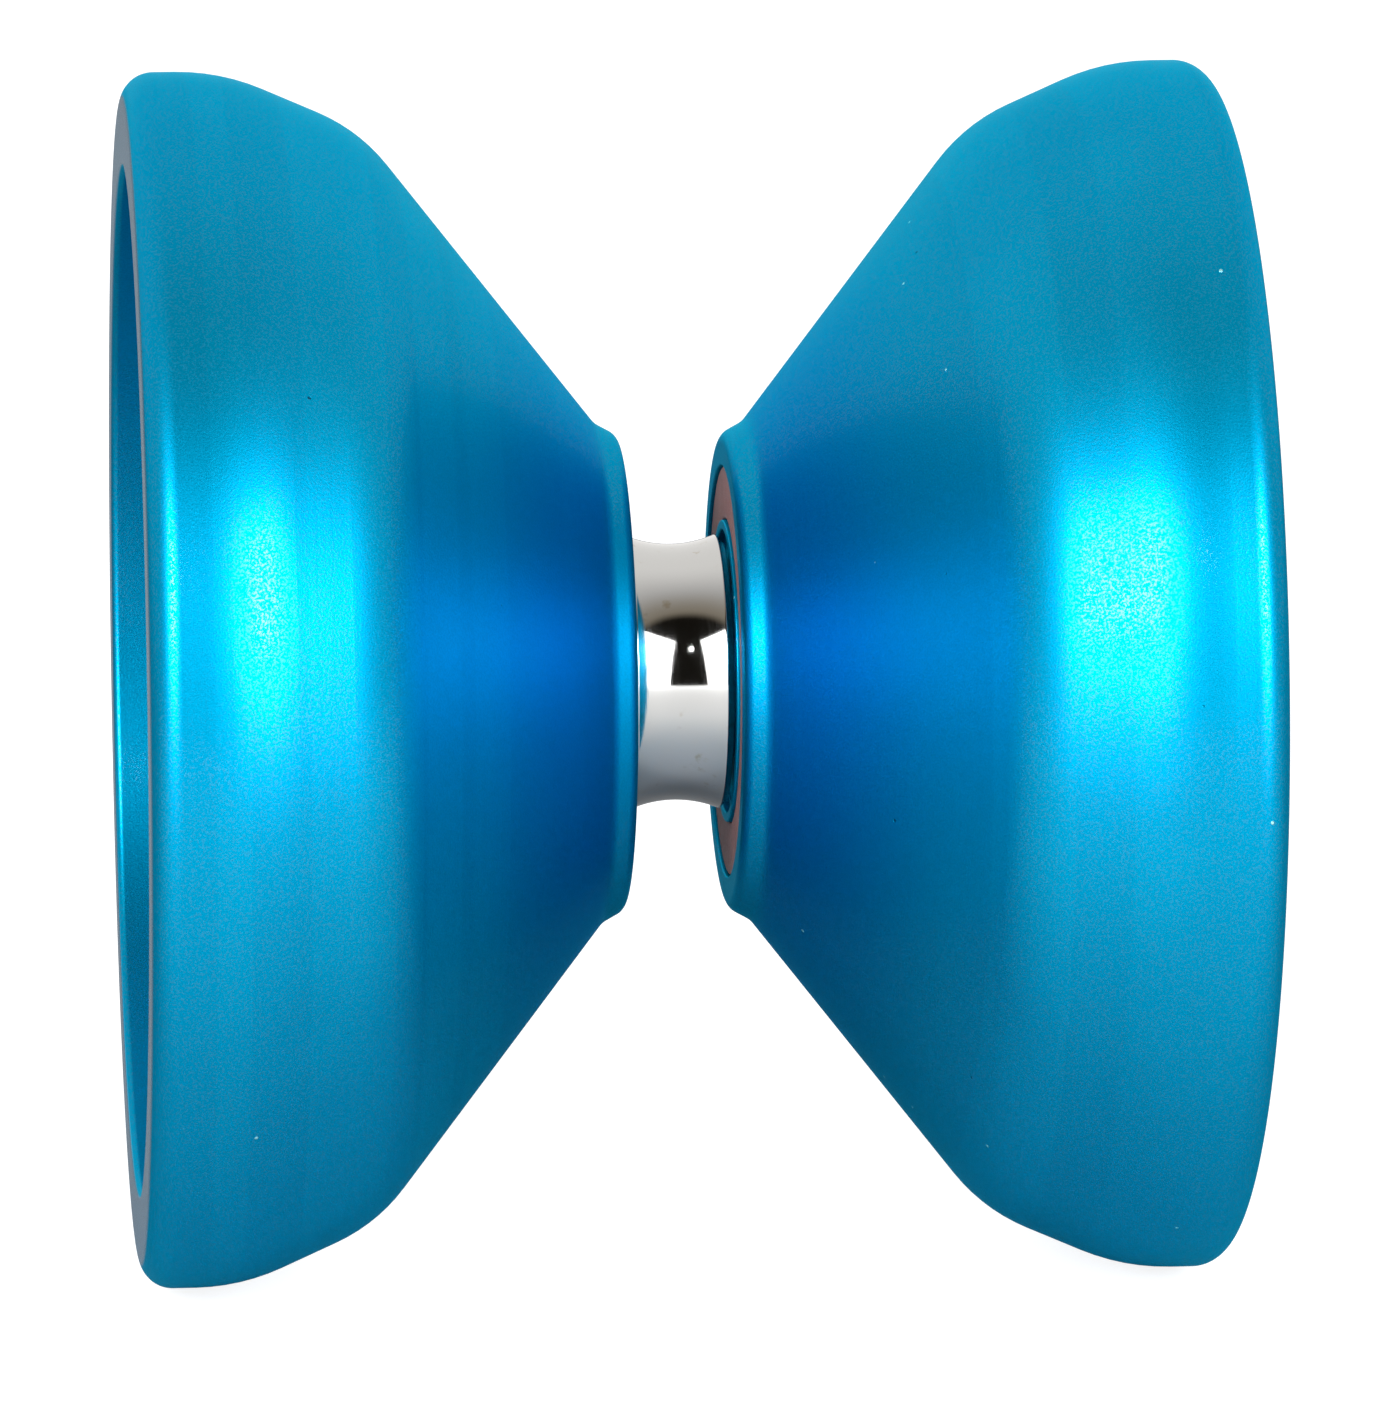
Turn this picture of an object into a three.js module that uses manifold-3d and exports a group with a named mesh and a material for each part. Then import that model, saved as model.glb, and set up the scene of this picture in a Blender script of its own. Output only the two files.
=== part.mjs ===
// A modern metal yo-yo. Two identical turned aluminium halves screw together on a short threaded
// axle and clamp a concave ball bearing between them, and each hub face holds a silicone response pad.
// Millimetres, +Z up. The axle lies along X, the origin is the bearing's centre, and the yo-yo
// stands on its two rims. Outlines are given as [along the axle, radius].

import * as THREE from 'three';
import { mergeVertices } from 'three/addons/utils/BufferGeometryUtils.js';
import Module from 'manifold-3d';

const wasm = await Module();
wasm.setup();

// ---- Driving dimensions ----

// Whole yo-yo
const RIM_RADIUS = 28.0;
const HALF_WIDTH = 25.1;

// Ball bearing, 1/4 x 1/2 x 3/16 inch
const BEARING_BORE_RADIUS = 3.175;
const BEARING_OUTER_RADIUS = 6.35;
const BEARING_HALF_WIDTH = 2.38;
const BALL_RADIUS = 0.79375;
const BALL_COUNT = 10;
const PITCH_RADIUS = (BEARING_BORE_RADIUS + BEARING_OUTER_RADIUS) / 2;
const RACEWAY_GAP = 0.056;
const INNER_LAND_RADIUS = 4.25;
const OUTER_LAND_RADIUS = 5.27;
const WAIST_DEPTH = 0.42; // of the string's track below the ring's edges
const RING_CHAMFER = 0.3;

// Shield and snap ring at each end of the bearing
const CLOSURE_GAP = 0.06; // radial, round the shield and the snap ring
const CLOSURE_END_GAP = 0.02;
const SHIELD_SEAT = 1.8;
const SHIELD_THICKNESS = 0.14;
const SHIELD_BORE_RADIUS = 4.4;
const SHIELD_RADIUS = 5.62;
const SHIELD_FLANGE_WIDTH = 0.3;
const SHIELD_STEP_WIDTH = 0.2;
const SNAP_GROOVE_START = 2.0;
const SNAP_GROOVE_END = 2.26;
const SNAP_RING_THICKNESS = 0.2;
const SNAP_RING_BORE_RADIUS = 5.36;
const SNAP_RING_RADIUS = 5.76;
const SNAP_RING_OPENING = THREE.MathUtils.degToRad(26);

// Ball cage
const CAGE_BORE_RADIUS = 4.44;
const CAGE_RADIUS = 5.1;
const CAGE_BACK = -1.15;
const CAGE_MOUTH = 0.45;
const POCKET_GAP = 0.08;

// Axle, an M4 set screw
const AXLE_RADIUS = 1.98;
const AXLE_LENGTH = 17.0;
const AXLE_CHAMFER = 0.4;
const HEX_ACROSS_FLATS = 2.0;
const HEX_DEPTH = 2.2;

// Hub of each half
const HUB_FACE = 2.4;
const POST_END = 0.25; // the post carries the bearing's bore
const POST_GAP = 0.025;
const POST_CHAMFER = 0.25;
const SEAT_RADIUS = 3.95; // the seat clamps the bearing's inner ring
const RECESS_GAP = 0.2; // round the bearing's outer ring
const RECESS_DEPTH = 0.45;
const RECESS_CHAMFER = 0.1;
const AXLE_BORE_GAP = 0.07;
const AXLE_BORE_END = 9.0;
const DRILL_TIP = 1.2;

// Response pad and its groove
const PAD_INNER_RADIUS = 7.0;
const PAD_OUTER_RADIUS = 9.54;
const PAD_GROOVE_DEPTH = 1.1;
const PAD_SUNK = 0.15;
const PAD_FIT = 0.05;
const PAD_ROUNDING = 0.12;

// Outside of each half: hub corner, cone, flared band and rim
const HUB_CORNER = { along: HUB_FACE, radius: 10.98, rounding: 0.75 };
const HUB_LAND = { along: 3.5, radius: 11.58, rounding: 1.2 };
const CONE_TOP = { along: 14.21, radius: 25.26, rounding: 8.0 };
const BAND_TOP = { along: 20.5, radius: RIM_RADIUS, rounding: 10 };
const RIM_CORNER = { along: HALF_WIDTH, radius: RIM_RADIUS, rounding: 1.5 };

// Cup inside each half
const CUP_MOUTH = { along: HALF_WIDTH, radius: 23.64, rounding: 0.35 };
const CUP_WALL = { along: 16.0, radius: 23.5, rounding: 2.0 };
const CUP_FLOOR = { along: 5.9, radius: 11.5, rounding: 2.5 };
const BOSS_FOOT = { along: CUP_FLOOR.along, radius: 4.7, rounding: 1.2 };
const BOSS_TOP = { along: 12.0, radius: 3.6, rounding: 0.6 };
const BOSS_DIMPLE = { depth: 0.7, radius: 1.6 };

// Facets
const HALF_SEGMENTS = 48;
const BEARING_SEGMENTS = 28;
const CAGE_SEGMENTS = 3 * BALL_COUNT;
const AXLE_SEGMENTS = 20;
const BALL_SEGMENTS = 10;
const BALL_RINGS = 7;
const SNAP_RING_SEGMENTS = 16;
const RACEWAY_STEPS = 5;
const WAIST_STEPS = 6;
const ROUNDING_STEP = THREE.MathUtils.degToRad(30);
const WELD = 1e-5;

// ---- Materials ----

function anodisedAluminium() {
  return new THREE.MeshStandardMaterial({ color: 0x0791b8, roughness: 0.36, metalness: 1.0 });
}

function polishedSteel() {
  return new THREE.MeshStandardMaterial({ color: 0xd9dadc, roughness: 0.08, metalness: 1.0 });
}

function stampedSteel() {
  return new THREE.MeshStandardMaterial({ color: 0xb4b6b9, roughness: 0.3, metalness: 1.0 });
}

function springSteel() {
  return new THREE.MeshStandardMaterial({ color: 0x9a9ba0, roughness: 0.25, metalness: 1.0 });
}

function blackenedSteel() {
  return new THREE.MeshStandardMaterial({ color: 0x2c2d30, roughness: 0.42, metalness: 1.0 });
}

function silicone() {
  return new THREE.MeshStandardMaterial({ color: 0x82554f, roughness: 0.75, metalness: 0.0 });
}

// ---- Shape helpers ----

function corner({ along, radius, rounding }) {
  return [along, radius, rounding];
}

// Points for a lathe from corners [along, radius, rounding]. A corner with a rounding becomes an arc
// that is tangent to both of its sides.
function roundedOutline(corners) {
  const points = [];
  corners.forEach(([along, radius, rounding = 0], index) => {
    const corner = new THREE.Vector2(radius, along);
    if (rounding === 0) {
      points.push(corner);
      return;
    }
    const [alongBefore, radiusBefore] = corners[index - 1];
    const [alongAfter, radiusAfter] = corners[index + 1];
    const toBefore = new THREE.Vector2(radiusBefore, alongBefore).sub(corner).normalize();
    const toAfter = new THREE.Vector2(radiusAfter, alongAfter).sub(corner).normalize();
    const halfAngle = Math.acos(toBefore.dot(toAfter)) / 2;
    const bisector = toBefore.clone().add(toAfter).normalize();
    const centre = corner.clone().addScaledVector(bisector, rounding / Math.sin(halfAngle));
    const start = corner.clone().addScaledVector(toBefore, rounding / Math.tan(halfAngle));
    const sweep = Math.sign(toBefore.cross(toAfter)) * (2 * halfAngle - Math.PI);
    const steps = Math.max(2, Math.round(Math.abs(sweep) / ROUNDING_STEP));
    for (let step = 0; step <= steps; step += 1) {
      points.push(start.clone().rotateAround(centre, (sweep * step) / steps));
    }
  });
  return points;
}

// Corners along a circular arc round [along, radius], with its angles measured from the radius
// direction towards +X.
function arcCorners(centreAlong, centreRadius, arcRadius, fromAngle, toAngle, steps) {
  const corners = [];
  for (let step = 0; step <= steps; step += 1) {
    const angle = THREE.MathUtils.lerp(fromAngle, toAngle, step / steps);
    corners.push([
      centreAlong + arcRadius * Math.sin(angle),
      centreRadius + arcRadius * Math.cos(angle),
    ]);
  }
  return corners;
}

function welded(geometry) {
  geometry.deleteAttribute('normal');
  geometry.deleteAttribute('uv');
  return mergeVertices(geometry, WELD);
}

// A solid of revolution round X. Its facets are set so that flats, not edges, face up and down.
function turned(corners, segments) {
  const geometry = new THREE.LatheGeometry(roundedOutline(corners), segments, Math.PI / segments);
  geometry.rotateZ(-Math.PI / 2);
  return welded(geometry);
}

// The same, for a ring whose outline closes on itself clear of the axis.
function turnedRing(corners, segments) {
  return turned([...corners, corners[0]], segments);
}

function toManifold(geometry) {
  return new wasm.Manifold(new wasm.Mesh({
    numProp: 3,
    vertProperties: new Float32Array(geometry.attributes.position.array),
    triVerts: new Uint32Array(geometry.index.array),
  }));
}

function toGeometry(manifold) {
  const mesh = manifold.getMesh();
  const geometry = new THREE.BufferGeometry();
  geometry.setAttribute('position', new THREE.BufferAttribute(mesh.vertProperties, 3));
  geometry.setIndex(new THREE.BufferAttribute(mesh.triVerts, 1));
  return geometry;
}

function ballAngle(index) {
  return (2 * Math.PI * index) / BALL_COUNT;
}

// ---- Halves ----

// The half on the +X side, from the bottom of its axle bore, over the hub, out along the cone to the
// rim, and back through the cup to the boss on the axis.
function halfGeometry() {
  const bore = AXLE_RADIUS + AXLE_BORE_GAP;
  const post = BEARING_BORE_RADIUS - POST_GAP;
  const recess = BEARING_OUTER_RADIUS + RECESS_GAP;
  return turned([
    [AXLE_BORE_END + DRILL_TIP, 0],
    [AXLE_BORE_END, bore],
    [POST_END, bore],
    [POST_END, post - POST_CHAMFER],
    [POST_END + POST_CHAMFER, post],
    [HUB_FACE, post],
    [HUB_FACE, SEAT_RADIUS],
    [HUB_FACE + RECESS_DEPTH, SEAT_RADIUS],
    [HUB_FACE + RECESS_DEPTH, recess],
    [HUB_FACE + RECESS_CHAMFER, recess],
    [HUB_FACE, recess + RECESS_CHAMFER],
    [HUB_FACE, PAD_INNER_RADIUS],
    [HUB_FACE + PAD_GROOVE_DEPTH, PAD_INNER_RADIUS],
    [HUB_FACE + PAD_GROOVE_DEPTH, PAD_OUTER_RADIUS],
    [HUB_FACE, PAD_OUTER_RADIUS],
    corner(HUB_CORNER),
    corner(HUB_LAND),
    corner(CONE_TOP),
    corner(BAND_TOP),
    corner(RIM_CORNER),
    corner(CUP_MOUTH),
    corner(CUP_WALL),
    corner(CUP_FLOOR),
    corner(BOSS_FOOT),
    corner(BOSS_TOP),
    [BOSS_TOP.along, BOSS_DIMPLE.radius],
    [BOSS_TOP.along - BOSS_DIMPLE.depth, 0],
  ], HALF_SEGMENTS);
}

function halves() {
  const group = new THREE.Group();
  const right = new THREE.Mesh(halfGeometry(), anodisedAluminium());
  right.name = 'right_half';
  const left = new THREE.Mesh(halfGeometry(), anodisedAluminium());
  left.name = 'left_half';
  left.rotation.z = Math.PI;
  group.add(left, right);
  return group;
}

// ---- Response pads ----

function padGeometry() {
  const front = HUB_FACE + PAD_SUNK;
  const back = HUB_FACE + PAD_GROOVE_DEPTH - PAD_FIT;
  const inside = PAD_INNER_RADIUS + PAD_FIT;
  const outside = PAD_OUTER_RADIUS - PAD_FIT;
  return turnedRing([
    [front, inside + PAD_ROUNDING],
    [front, outside - PAD_ROUNDING],
    [front + PAD_ROUNDING, outside],
    [back, outside],
    [back, inside],
    [front + PAD_ROUNDING, inside],
  ], HALF_SEGMENTS);
}

function responsePads() {
  const group = new THREE.Group();
  const right = new THREE.Mesh(padGeometry(), silicone());
  right.name = 'right_response_pad';
  const left = new THREE.Mesh(padGeometry(), silicone());
  left.name = 'left_response_pad';
  left.rotation.z = Math.PI;
  group.add(left, right);
  return group;
}

// ---- Axle ----

function hexSocket() {
  const socket = new THREE.CylinderGeometry(
    HEX_ACROSS_FLATS / Math.sqrt(3), HEX_ACROSS_FLATS / Math.sqrt(3), 2 * HEX_DEPTH, 6,
  );
  socket.rotateZ(-Math.PI / 2);
  socket.translate(AXLE_LENGTH / 2, 0, 0);
  return toManifold(welded(socket));
}

function axle() {
  const end = AXLE_LENGTH / 2;
  const rod = toManifold(turned([
    [-end, 0],
    [-end, AXLE_RADIUS - AXLE_CHAMFER],
    [-end + AXLE_CHAMFER, AXLE_RADIUS],
    [end - AXLE_CHAMFER, AXLE_RADIUS],
    [end, AXLE_RADIUS - AXLE_CHAMFER],
    [end, 0],
  ], AXLE_SEGMENTS));
  const mesh = new THREE.Mesh(toGeometry(rod.subtract(hexSocket())), blackenedSteel());
  mesh.name = 'axle';
  return mesh;
}

// ---- Bearing ----

// Half the angle that a raceway's arc takes between its lands.
function racewayAngle(landRadius) {
  return Math.acos(Math.abs(landRadius - PITCH_RADIUS) / (BALL_RADIUS + RACEWAY_GAP));
}

// A raceway's corners, for angles measured from the radius direction towards +X.
function racewayCorners(fromAngle, toAngle) {
  return arcCorners(0, PITCH_RADIUS, BALL_RADIUS + RACEWAY_GAP, fromAngle, toAngle, RACEWAY_STEPS);
}

function innerRing() {
  const reach = racewayAngle(INNER_LAND_RADIUS);
  const mesh = new THREE.Mesh(turnedRing([
    [-BEARING_HALF_WIDTH, BEARING_BORE_RADIUS],
    [-BEARING_HALF_WIDTH, INNER_LAND_RADIUS],
    ...racewayCorners(Math.PI + reach, Math.PI - reach),
    [BEARING_HALF_WIDTH, INNER_LAND_RADIUS],
    [BEARING_HALF_WIDTH, BEARING_BORE_RADIUS],
  ], BEARING_SEGMENTS), polishedSteel());
  mesh.name = 'bearing_inner_ring';
  return mesh;
}

// The seat for the shield and the groove for the snap ring, at the +X end of the outer ring.
function outerRingCounterbore() {
  const bore = SHIELD_RADIUS + CLOSURE_GAP;
  const groove = SNAP_RING_RADIUS + CLOSURE_GAP;
  return [
    [BEARING_HALF_WIDTH, bore],
    [SNAP_GROOVE_END, bore],
    [SNAP_GROOVE_END, groove],
    [SNAP_GROOVE_START, groove],
    [SNAP_GROOVE_START, bore],
    [SHIELD_SEAT, bore],
    [SHIELD_SEAT, OUTER_LAND_RADIUS],
  ];
}

// The waisted outside that centres a string: an arc through both edges and the narrower middle.
function waistCorners() {
  const edge = BEARING_HALF_WIDTH - RING_CHAMFER;
  const arcRadius = (edge ** 2 + WAIST_DEPTH ** 2) / (2 * WAIST_DEPTH);
  const reach = Math.asin(edge / arcRadius);
  const centreRadius = BEARING_OUTER_RADIUS - WAIST_DEPTH + arcRadius;
  return arcCorners(0, centreRadius, arcRadius, Math.PI + reach, Math.PI - reach, WAIST_STEPS);
}

function outerRing() {
  const reach = racewayAngle(OUTER_LAND_RADIUS);
  const counterbore = outerRingCounterbore();
  const mirrored = counterbore.map(([along, radius]) => [-along, radius]).reverse();
  const mesh = new THREE.Mesh(turnedRing([
    [-BEARING_HALF_WIDTH, BEARING_OUTER_RADIUS - RING_CHAMFER],
    ...waistCorners(),
    [BEARING_HALF_WIDTH, BEARING_OUTER_RADIUS - RING_CHAMFER],
    ...counterbore,
    ...racewayCorners(reach, -reach),
    ...mirrored,
  ], BEARING_SEGMENTS), polishedSteel());
  mesh.name = 'bearing_outer_ring';
  return mesh;
}

function balls() {
  const group = new THREE.Group();
  for (let index = 0; index < BALL_COUNT; index += 1) {
    const sphere = new THREE.SphereGeometry(BALL_RADIUS, BALL_SEGMENTS, BALL_RINGS);
    const mesh = new THREE.Mesh(welded(sphere), polishedSteel());
    const angle = ballAngle(index);
    mesh.position.set(0, -PITCH_RADIUS * Math.sin(angle), PITCH_RADIUS * Math.cos(angle));
    mesh.name = `bearing_ball_${String(index + 1).padStart(2, '0')}`;
    group.add(mesh);
  }
  return group;
}

// A crown cage: a ring with a round pocket for each ball, open on its +X side.
function cage() {
  let ring = toManifold(turnedRing([
    [CAGE_BACK, CAGE_BORE_RADIUS],
    [CAGE_BACK, CAGE_RADIUS],
    [CAGE_MOUTH, CAGE_RADIUS],
    [CAGE_MOUTH, CAGE_BORE_RADIUS],
  ], CAGE_SEGMENTS));
  for (let index = 0; index < BALL_COUNT; index += 1) {
    const pocket = new THREE.SphereGeometry(BALL_RADIUS + POCKET_GAP, BALL_SEGMENTS, BALL_RINGS);
    pocket.translate(0, 0, PITCH_RADIUS);
    pocket.rotateX(ballAngle(index));
    ring = ring.subtract(toManifold(welded(pocket)));
  }
  const mesh = new THREE.Mesh(toGeometry(ring), stampedSteel());
  mesh.name = 'bearing_cage';
  return mesh;
}

// A thin dished washer that keeps dust out of the balls.
function shieldGeometry() {
  const seat = SHIELD_SEAT + CLOSURE_END_GAP;
  const dish = seat + SHIELD_THICKNESS;
  const dishStart = SHIELD_RADIUS - SHIELD_FLANGE_WIDTH;
  const dishEnd = dishStart - SHIELD_STEP_WIDTH;
  return turnedRing([
    [seat, dishStart],
    [seat, SHIELD_RADIUS],
    [seat + SHIELD_THICKNESS, SHIELD_RADIUS],
    [seat + SHIELD_THICKNESS, dishStart],
    [dish + SHIELD_THICKNESS, dishEnd],
    [dish + SHIELD_THICKNESS, SHIELD_BORE_RADIUS],
    [dish, SHIELD_BORE_RADIUS],
    [dish, dishEnd],
  ], BEARING_SEGMENTS);
}

// A flat spring ring with a gap, which holds the shield in.
function snapRingGeometry() {
  const opening = SNAP_RING_OPENING / 2;
  const section = new THREE.Shape();
  section.absarc(0, 0, SNAP_RING_RADIUS, opening, 2 * Math.PI - opening, false);
  section.absarc(0, 0, SNAP_RING_BORE_RADIUS, 2 * Math.PI - opening, opening, true);
  const geometry = new THREE.ExtrudeGeometry(section, {
    depth: SNAP_RING_THICKNESS,
    bevelEnabled: false,
    curveSegments: SNAP_RING_SEGMENTS,
  });
  geometry.rotateY(Math.PI / 2);
  geometry.translate(SNAP_GROOVE_START + CLOSURE_END_GAP, 0, 0);
  return welded(geometry);
}

function bearingClosures() {
  const group = new THREE.Group();
  [['right', 0], ['left', Math.PI]].forEach(([side, turn]) => {
    const shield = new THREE.Mesh(shieldGeometry(), stampedSteel());
    shield.name = `${side}_bearing_shield`;
    shield.rotation.z = turn;
    const ring = new THREE.Mesh(snapRingGeometry(), springSteel());
    ring.name = `${side}_snap_ring`;
    ring.rotation.z = turn;
    group.add(shield, ring);
  });
  return group;
}

function bearing() {
  const group = new THREE.Group();
  group.add(innerRing(), outerRing(), cage(), balls(), bearingClosures());
  return group;
}

// ---- Whole yo-yo ----

const yoYo = new THREE.Group();
yoYo.add(halves(), responsePads(), axle(), bearing());

export default yoYo;
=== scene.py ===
import math

import bmesh
import bpy
from mathutils import Matrix, Vector


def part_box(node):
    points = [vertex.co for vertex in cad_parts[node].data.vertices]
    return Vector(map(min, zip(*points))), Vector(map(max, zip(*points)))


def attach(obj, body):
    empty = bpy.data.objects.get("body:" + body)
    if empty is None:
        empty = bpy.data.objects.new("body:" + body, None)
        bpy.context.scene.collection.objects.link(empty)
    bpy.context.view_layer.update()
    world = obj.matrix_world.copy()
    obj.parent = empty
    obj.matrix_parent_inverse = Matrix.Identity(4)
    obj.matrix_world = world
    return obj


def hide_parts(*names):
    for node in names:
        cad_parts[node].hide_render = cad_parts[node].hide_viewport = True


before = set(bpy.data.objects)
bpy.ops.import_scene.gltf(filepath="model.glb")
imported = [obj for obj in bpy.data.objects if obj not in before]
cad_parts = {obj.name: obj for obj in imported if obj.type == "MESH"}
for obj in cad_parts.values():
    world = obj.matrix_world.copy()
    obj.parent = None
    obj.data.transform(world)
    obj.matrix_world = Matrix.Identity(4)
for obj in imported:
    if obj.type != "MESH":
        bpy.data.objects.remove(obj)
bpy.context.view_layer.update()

# A yo-yo: two turned aluminium halves on a threaded axle, with a waisted ball bearing between them.
# Lengths are in millimetres until a mesh is made, and MM turns them into metres. The axle lies along
# X and the bearing's centre is the origin. Outlines are lists of (along the axle, radius).
MM = 0.001

# ---- Driving dimensions ----

# Whole yo-yo
HALF_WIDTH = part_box("right_half")[1].x / MM
RIM_RADIUS = 28.0

# Ball bearing, 1/4 x 1/2 x 3/16 inch
BEARING_BORE_RADIUS = 3.175
BEARING_OUTER_RADIUS = 6.35
BEARING_HALF_WIDTH = 2.38
BALL_RADIUS = 0.79375
BALL_COUNT = 10
PITCH_RADIUS = (BEARING_BORE_RADIUS + BEARING_OUTER_RADIUS) / 2
RACEWAY_GAP = 0.056
INNER_LAND_RADIUS = 4.25
OUTER_LAND_RADIUS = 5.27
WAIST_DEPTH = 0.42
WAIST_END_ROUNDING = 0.1
RING_CHAMFER = 0.3
RING_EDGE_BREAK = 0.08
BORE_ROUNDING = 0.15

# Shield and snap ring at each end of the bearing
CLOSURE_GAP = 0.06
CLOSURE_END_GAP = 0.02
SHIELD_SEAT = 1.8
SHIELD_THICKNESS = 0.14
SHIELD_BORE_RADIUS = 4.4
SHIELD_RADIUS = 5.62
SHIELD_FLANGE_WIDTH = 0.3
SHIELD_STEP_WIDTH = 0.2
SNAP_GROOVE_START = 2.0
SNAP_GROOVE_END = 2.26
SNAP_RING_THICKNESS = 0.2
SNAP_RING_BORE_RADIUS = 5.36
SNAP_RING_RADIUS = 5.76
SNAP_RING_OPENING = math.radians(26)

# Ball cage
CAGE_BORE_RADIUS = 4.44
CAGE_RADIUS = 5.1
CAGE_BACK = -1.15
CAGE_MOUTH = 0.45
POCKET_GAP = 0.08

# Axle, an M4 set screw
AXLE_RADIUS = 1.98
AXLE_LENGTH = 17.0
AXLE_CHAMFER = 0.4
THREAD_PITCH = 0.7
THREAD_DEPTH = 0.36
THREAD_CREST = 0.12  # flat crest, as a share of half the pitch
THREAD_FLANK = 0.66  # sloping flank, as a share of half the pitch
HEX_ACROSS_FLATS = 2.0
HEX_DEPTH = 2.2

# Hub of each half
HUB_FACE = 2.4
POST_END = 0.25
POST_GAP = 0.025
POST_CHAMFER = 0.25
SEAT_RADIUS = 3.95
RECESS_GAP = 0.2
RECESS_DEPTH = 0.45
RECESS_CHAMFER = 0.1
AXLE_BORE_GAP = 0.07
AXLE_BORE_END = 9.0
DRILL_TIP = 1.2

# Response pad and its groove
PAD_INNER_RADIUS = 7.0
PAD_OUTER_RADIUS = 9.54
PAD_GROOVE_DEPTH = 1.1
PAD_SUNK = 0.15
PAD_FIT = 0.05
PAD_ROUNDING = 0.12
GROOVE_INNER_BREAK = 0.07
GROOVE_OUTER_BREAK = 0.08

# Outside and cup of each half: (along, radius, rounding)
HUB_CORNER = (HUB_FACE, 10.98, 0.75)
HUB_LAND = (3.5, 11.58, 1.2)
CONE_TOP = (14.21, 25.26, 8.0)
BAND_TOP = (20.5, RIM_RADIUS, 10.0)
RIM_CORNER = (HALF_WIDTH, RIM_RADIUS, 1.5)
CUP_MOUTH = (HALF_WIDTH, 23.64, 0.35)
CUP_WALL = (16.0, 23.5, 2.0)
CUP_FLOOR = (5.9, 11.5, 2.5)
BOSS_FOOT = (5.9, 4.7, 1.2)
BOSS_TOP = (12.0, 3.6, 0.6)
BOSS_DIMPLE_DEPTH = 0.7
BOSS_DIMPLE_RADIUS = 1.6

# Smoothness
HALF_SEGMENTS = 192
BEARING_SEGMENTS = 128
PAD_SEGMENTS = 192
THREAD_SEGMENTS = 48
THREAD_STEPS_PER_PITCH = 10
RACEWAY_STEPS = 20
WAIST_STEPS = 36
POCKET_STEPS = 32
SNAP_RING_STEPS = 96
BALL_SUBDIVISIONS = 4
ARC_STEP = math.radians(4)
SHORTEST_CHORD = 0.02
EDGE_BREAK = 0.05
SHEET_EDGE_BREAK = 0.03
COUNTERBORE_EDGE_BREAK = 0.02
SUPPORT = 0.03
LONGEST_RUN = 1.2
WELD = 1e-4
THREAD_CREASE = math.radians(32)
CAGE_CREASE = math.radians(40)
SNAP_RING_CREASE = math.radians(50)


# ---- Outlines ----

def bend(before, corner, after):
    """A corner (along, radius) as one point, or a corner (along, radius, rounding) as a tangent arc."""
    here = Vector(corner[:2])
    if len(corner) < 3:
        return [here]
    rounding = corner[2]
    to_before = (Vector(before[:2]) - here).normalized()
    to_after = (Vector(after[:2]) - here).normalized()
    half_angle = to_before.angle(to_after) / 2
    centre = here + (to_before + to_after).normalized() * (rounding / math.sin(half_angle))
    start = here + to_before * (rounding / math.tan(half_angle)) - centre
    turn = math.pi - 2 * half_angle
    side = 1.0 if to_before.x * to_after.y - to_before.y * to_after.x < 0 else -1.0
    steps = max(2, round(min(turn / ARC_STEP, turn * rounding / SHORTEST_CHORD)))
    return [centre + Matrix.Rotation(side * turn * step / steps, 2) @ start for step in range(steps + 1)]


def supports(start, end):
    """Extra points along a straight run, close to both its ends, so that shading stays flat there."""
    length = (end - start).length
    if length < 4 * SUPPORT:
        return []
    pieces = max(1, math.ceil((length - 2 * SUPPORT) / LONGEST_RUN))
    points = []
    for step in range(pieces + 1):
        share = (SUPPORT + (length - 2 * SUPPORT) * step / pieces) / length
        points.append(start.lerp(end, share))
    return points


def rounded(corners, closed=False):
    """An outline's points, with its corners rounded and its straight runs supported."""
    count = len(corners)
    bends = [bend(corners[index - 1], corner, corners[(index + 1) % count])
             for index, corner in enumerate(corners)]
    points = []
    for index, here in enumerate(bends):
        points += here
        if closed or index + 1 < count:
            points += supports(here[-1], bends[(index + 1) % count][0])
    return points


def arc(centre_along, centre_radius, radius, start, end, steps):
    """Corners on an arc, with its angles measured from the radius direction towards +X."""
    corners = []
    for step in range(steps + 1):
        angle = start + (end - start) * step / steps
        corners.append((centre_along + radius * math.sin(angle), centre_radius + radius * math.cos(angle)))
    return corners


# ---- Meshes ----

def on_circle(along, radius, angle):
    return Vector((along * MM, -radius * math.sin(angle) * MM, radius * math.cos(angle) * MM))


def finish_mesh(name, bm):
    """Makes the mesh into a smooth-shaded object with its faces turned outwards."""
    bmesh.ops.recalc_face_normals(bm, faces=bm.faces)
    mesh = bpy.data.meshes.new(name)
    bm.to_mesh(mesh)
    bm.free()
    mesh.polygons.foreach_set("use_smooth", [True] * len(mesh.polygons))
    piece = bpy.data.objects.new(name, mesh)
    bpy.context.scene.collection.objects.link(piece)
    return piece


def turned(name, outline, segments, closed=False):
    """A solid of revolution round X. A point with no radius becomes a pole."""
    bm = bmesh.new()
    rings = []
    for along, radius in outline:
        around = segments if radius > WELD else 1
        rings.append([bm.verts.new(on_circle(along, radius, 2 * math.pi * step / segments))
                      for step in range(around)])
    pairs = list(zip(rings, rings[1:]))
    if closed:
        pairs.append((rings[-1], rings[0]))
    for lower, upper in pairs:
        for step in range(segments):
            after = (step + 1) % segments
            if len(lower) == 1:
                bm.faces.new((lower[0], upper[after], upper[step]))
            elif len(upper) == 1:
                bm.faces.new((lower[step], lower[after], upper[0]))
            else:
                bm.faces.new((lower[step], lower[after], upper[after], upper[step]))
    return finish_mesh(name, bm)


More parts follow.
